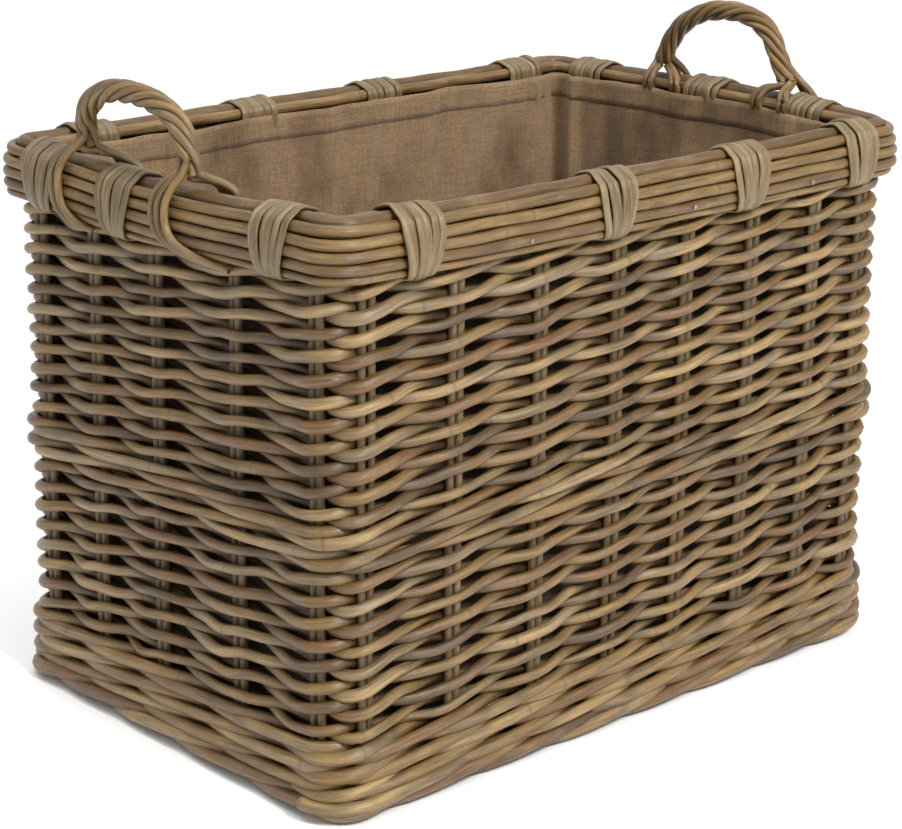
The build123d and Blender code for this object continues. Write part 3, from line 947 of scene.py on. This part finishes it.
def handle_piece(side):
    """Rods of one handle: twisted round a core, and parted round the rim at both legs."""
    low, high = node_box(f"{side}_handle_rope")
    middle = (low[1] + high[1]) / 2
    line = spline([(middle + along, RIM_TOP + rise) for along, rise in HANDLE_LINES[side]], 0.002)
    along_line = distance_along(line)
    tangent = unit(np.gradient(line, axis=0))
    across = np.column_stack([tangent[:, 1], -tangent[:, 0]])
    cane_outset = CANE_SECTIONS["rim_top_cane"][1]
    hand = 1 if side == "right" else -1
    bodies = []
    for strand in range(HANDLE_STRANDS):
        angle = hand * 2 * pi * (strand / HANDLE_STRANDS + along_line / HANDLE_TWIST)
        swell = HANDLE_HELIX_RADIUS * (1 + wobble(along_line, 0.4, 0.06, (1, 2, 3)))
        offset = (swell * np.cos(angle))[:, None] * across
        outset = cane_outset + swell * np.sin(angle)
        moved = line + offset
        bodies.append(np.column_stack([moved[:, 0], outset, moved[:, 1]])[::3])
    bodies = np.array(bodies)
    heads = leg_routes(side, "far", line[0, 0], bodies[:, LEG_PARTING])
    tails = leg_routes(side, "near", line[-1, 0], bodies[:, -1 - LEG_PARTING])
    rods = Rods()
    for strand, body in enumerate(bodies):
        skip_head, head = heads[strand]
        skip_tail, tail = tails[strand]
        body = body[skip_head:len(body) - skip_tail]
        route = spline(np.vstack([head[::-1], body, tail]), 0.003)
        points = on_side(side, route[:, 0], route[:, 1], route[:, 2])
        radius = HANDLE_STRAND_RADIUS * rng.normal(1, 0.04)
        rods.add(points, (0.3, 0.2, 1.0), radius, tint=rng.uniform(0, 1), sides=12, bulge=0.0)
    core = on_side(side, line[:, 0], np.full(len(line), cane_outset), line[:, 1])
    rods.add(core, (0.3, 0.2, 1.0), HANDLE_CORE_RADIUS, tint=0.2, sides=8, bulge=0.0)
    finish_rods(rods, f"{side}_handle_rods", "rattan_handle", f"{side}_handle_core",
                f"{side}_handle_rope", f"{side}_handle_lashings")


# ---------------------------------------------------------------------------
# Liner
# ---------------------------------------------------------------------------

def cloth_piece(name, grid, cloth, closed_u, thickness):
    """Sheet from a grid of points (u, v, 3), with its cloth coordinates and a real thickness."""
    rows, columns = grid.shape[:2]
    mesh = bpy.data.meshes.new(name)
    u = np.arange(rows if closed_u else rows - 1)
    v = np.arange(columns - 1)
    next_u = (u + 1) % rows
    quads = np.stack([
        u[:, None] * columns + v, next_u[:, None] * columns + v,
        next_u[:, None] * columns + v + 1, u[:, None] * columns + v + 1,
    ], -1).reshape(-1, 4)
    mesh.from_pydata(warp(grid.reshape(-1, 3)).tolist(), [], quads[:, ::-1].tolist())
    layer = mesh.attributes.new("cloth", "FLOAT_VECTOR", "POINT")
    layer.data.foreach_set("vector", cloth.reshape(-1, 3).astype(np.float32).ravel())
    mesh.polygons.foreach_set("use_smooth", np.ones(len(mesh.polygons), bool))
    mesh.materials.append(HESSIAN_MATERIAL)
    mesh.materials.append(HESSIAN_SHADED_BACK)
    piece = add_object(name, mesh)
    thick = piece.modifiers.new("thickness", "SOLIDIFY")
    thick.thickness = thickness
    thick.offset = 0.0
    # The solidified back face takes the second material, the hessian darkened as painted shade.
    thick.material_offset = 1
    return piece


def liner_grid(outset, low, high):
    """Ring of cloth between two heights, with folds at the corners and soft creases."""
    loop = Loop(outset, LINER_CORNER_RADIUS)
    rows, columns = 600, 80
    distance = np.arange(rows) * loop.length / rows
    plan, normal = loop.at(distance)
    heights = np.linspace(low, high, columns)
    grid = np.empty((rows, columns, 3))
    cloth = np.zeros((rows, columns, 3))
    edge = wobble(distance, loop.length, 0.0012, (5, 9, 16, 23))
    folds = np.zeros(rows)
    for corner in range(4):
        middle = loop.marks[3 * corner + 1] + loop.turn / 2
        for shift, depth, width in CORNER_FOLDS:
            gap = (distance - middle - shift + loop.length / 2) % loop.length - loop.length / 2
            folds += depth * np.exp(-((gap / width) ** 2))
    waves = [wobble(distance, loop.length, CREASE_DEPTH, (3, 7, 12, 19, 31, 47)) for _ in range(3)]
    for column, z in enumerate(heights):
        share = (z - low) / (high - low)
        blend = waves[0] * (1 - share) + waves[1] * share + waves[2] * np.sin(pi * share)
        inward = np.abs(blend) + CORNER_FOLD_DEPTH * folds * (0.4 + 0.6 * share)
        grid[:, column, :2] = plan - normal * inward[:, None]
        grid[:, column, 2] = z + edge * share**4
        cloth[:, column, 0] = distance
        cloth[:, column, 1] = z
    return grid, cloth, loop.length


def build_liner():
    low, high = node_box("liner_sides")
    outset = high[0] - HALF_LENGTH - 0.001
    top = high[2] + LINER_TOP_RISE
    grid, cloth, length = liner_grid(outset, low[2], top)
    sides = cloth_piece("liner_sides_cloth", grid, cloth, True, CLOTH_THICKNESS)
    finish_piece(sides, "hessian", "liner_sides")
    hem_low, _ = node_box("liner_hem")
    turned = grid[0, :, 2] > hem_low[2]
    hem_grid, hem_cloth = grid[:, turned].copy(), cloth[:, turned]
    inward = unit(hem_grid.mean(0, keepdims=True)[..., :2] - hem_grid[..., :2])
    hem_grid[..., :2] += inward * HEM_OFFSET
    hem = cloth_piece("liner_hem_cloth", hem_grid, hem_cloth, True, HEM_CLOTH_THICKNESS)
    finish_piece(hem, "hessian", "liner_hem")
    build_liner_floor()


def build_liner_floor():
    low, high = node_box("liner_floor")
    rows, columns = 120, 80
    x = np.linspace(low[0], high[0], rows)
    y = np.linspace(high[1], low[1], columns)
    grid = np.zeros((rows, columns, 3))
    grid[..., 0] = x[:, None]
    grid[..., 1] = y[None, :]
    ripple = wobble(x, 1.0, 0.0015, (3, 5, 8))[:, None] + wobble(y, 1.0, 0.0015, (3, 5, 8))[None, :]
    grid[..., 2] = (low[2] + high[2]) / 2 + np.abs(ripple)
    floor_cloth = cloth_piece("liner_floor_cloth", grid, grid.copy(), False, CLOTH_THICKNESS)
    finish_piece(floor_cloth, "hessian", "liner_floor")


# ---------------------------------------------------------------------------
# Base
# ---------------------------------------------------------------------------

def build_base():
    radius, outset, height = cane_measures("base_hoop")
    loop = Loop(outset, 0.012)
    points, normals = in_space(*loop.at(even_distances(loop.length, SAMPLE_STEP)), height)
    rods = Rods()
    rods.add(points, normals, radius, closed=True, tint=0.4, sides=12)
    finish_rods(rods, "base_hoop_rod", "rattan_cane", "base_hoop")
    low, high = node_box("base_sticks")
    stick_radius = (high[2] - low[2]) / 2
    level = (high[2] + low[2]) / 2
    places = np.linspace(low[1] + stick_radius, high[1] - stick_radius, 7)
    sticks = Rods()
    for y in places:
        x = np.linspace(low[0], high[0], 60)
        line = np.column_stack([x, np.full(60, y), np.full(60, level)])
        sticks.add(line, (0, 0, 1), stick_radius, tint=rng.beta(2, 2), sides=8)
    finish_rods(sticks, "base_stick_rods", "rattan_stake", "base_sticks")
    low, high = node_box("base_weave")
    weave = Rods()
    half = (high[1] - low[1]) / 2 - 0.002
    pitch = places[1] - places[0]
    swing = stick_radius + 0.0022
    for row, x in enumerate(np.arange(low[0] + 0.004, high[0], BASE_ROW_PITCH)):
        y = np.linspace(-half, half, 90)
        z = level + swing * (-1) ** row * np.cos(pi * (y - places[0]) / pitch)
        line = np.column_stack([np.full(90, x), y, z])
        weave.add(line, (1, 0, 0), BASE_ROD_RADIUS, tint=rng.beta(2, 2), sides=8)
    finish_rods(weave, "base_weave_rods", "rattan_weave", "base_weave")


# ---------------------------------------------------------------------------
# Nails, floor, lights and camera
# ---------------------------------------------------------------------------

def dress_nails():
    graph = Graph("nail_steel_material")
    place = graph.node("TexCoord").outputs["Object"]
    mottle = graph.noise(place, 700.0, 3.0)
    colour = graph.ramp(mottle, ((0.3, srgb(104, 97, 86)), (0.7, srgb(168, 162, 150))))
    graph.link(colour, graph.shader.inputs["Base Color"])
    graph.link(graph.between(mottle, 0.2, 0.8, 0.3, 0.6), graph.shader.inputs["Roughness"])
    graph.shader.inputs["Metallic"].default_value = 0.9
    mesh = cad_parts["rim_nails"].data
    mesh.materials.clear()
    mesh.materials.append(graph.material)


def build_stage():
    mesh = bpy.data.meshes.new("studio_floor")
    size = 30.0
    corners = [(-size, -size, 0), (size, -size, 0), (size, size, 0), (-size, size, 0)]
    mesh.from_pydata(corners, [], [(0, 1, 2, 3)])
    graph = Graph("studio_floor_material")
    place = graph.node("TexCoord").outputs["Object"]
    soft = graph.noise(place, 3.0, 2.0)
    graph.link(graph.ramp(soft, ((0.0, (0.90, 0.90, 0.90, 1)), (1.0, (0.93, 0.93, 0.93, 1)))),
               graph.shader.inputs["Base Color"])
    graph.shader.inputs["Roughness"].default_value = 0.9
    mesh.materials.append(graph.material)
    floor_object = add_object("studio_floor", mesh)
    floor_object.location.z = -0.0005


def area_light(name, place, target, size, power):
    light = bpy.data.lights.new(name, "AREA")
    light.shape = "RECTANGLE"
    light.size, light.size_y = size
    light.energy = power
    lamp = add_object(name, light)
    lamp.location = place
    lamp.rotation_euler = (Vector(target) - Vector(place)).to_track_quat("-Z", "Y").to_euler()


def build_lights():
    world = bpy.data.worlds.new("studio_world")
    world.use_nodes = True
    background = world.node_tree.nodes["Background"]
    background.inputs["Color"].default_value = (1.0, 1.0, 1.0, 1.0)
    background.inputs["Strength"].default_value = 0.80
    bpy.context.scene.world = world
    target = (0, 0, 0.25)
    area_light("key_light", (-0.2, -2.7, 2.5), target, (0.8, 0.8), 122.0)
    area_light("top_light", (-0.6, 0.4, 3.0), target, (2.2, 2.0), 30.0)
    overhead = bpy.data.lights.new("overhead_light", "SUN")
    overhead.energy = 0.55
    overhead.angle = radians(60.0)
    add_object("overhead_light", overhead)


def build_camera():
    azimuth, elevation = radians(CAMERA_AZIMUTH), radians(CAMERA_ELEVATION)
    back = Vector((sin(azimuth) * cos(elevation), -cos(azimuth) * cos(elevation), sin(elevation)))
    right = (-back).cross(Vector((0, 0, 1))).normalized()
    up = right.cross(-back)
    roll = radians(CAMERA_ROLL)
    right, up = right * cos(roll) + up * sin(roll), up * cos(roll) - right * sin(roll)
    aim = Vector((0, 0, RIM_TOP / 2))
    place = aim - right * CAMERA_SLIDE[0] - up * CAMERA_SLIDE[1] + back * CAMERA_DISTANCE
    camera_data = bpy.data.cameras.new("camera")
    camera_data.lens = CAMERA_LENS
    camera_data.sensor_width = 36.0
    camera_data.clip_end = 100.0
    camera = add_object("camera", camera_data)
    camera.matrix_world = Matrix((
        (right.x, up.x, back.x, place.x),
        (right.y, up.y, back.y, place.y),
        (right.z, up.z, back.z, place.z),
        (0, 0, 0, 1),
    ))
    bpy.context.scene.camera = camera
    bpy.context.scene.view_settings.view_transform = "Standard"


build_camera()
build_lights()
build_stage()
build_walls()
build_stakes()
build_rim_canes()
build_bindings()
for handle_side in ("left", "right"):
    handle_piece(handle_side)
build_liner()
build_base()
dress_nails()
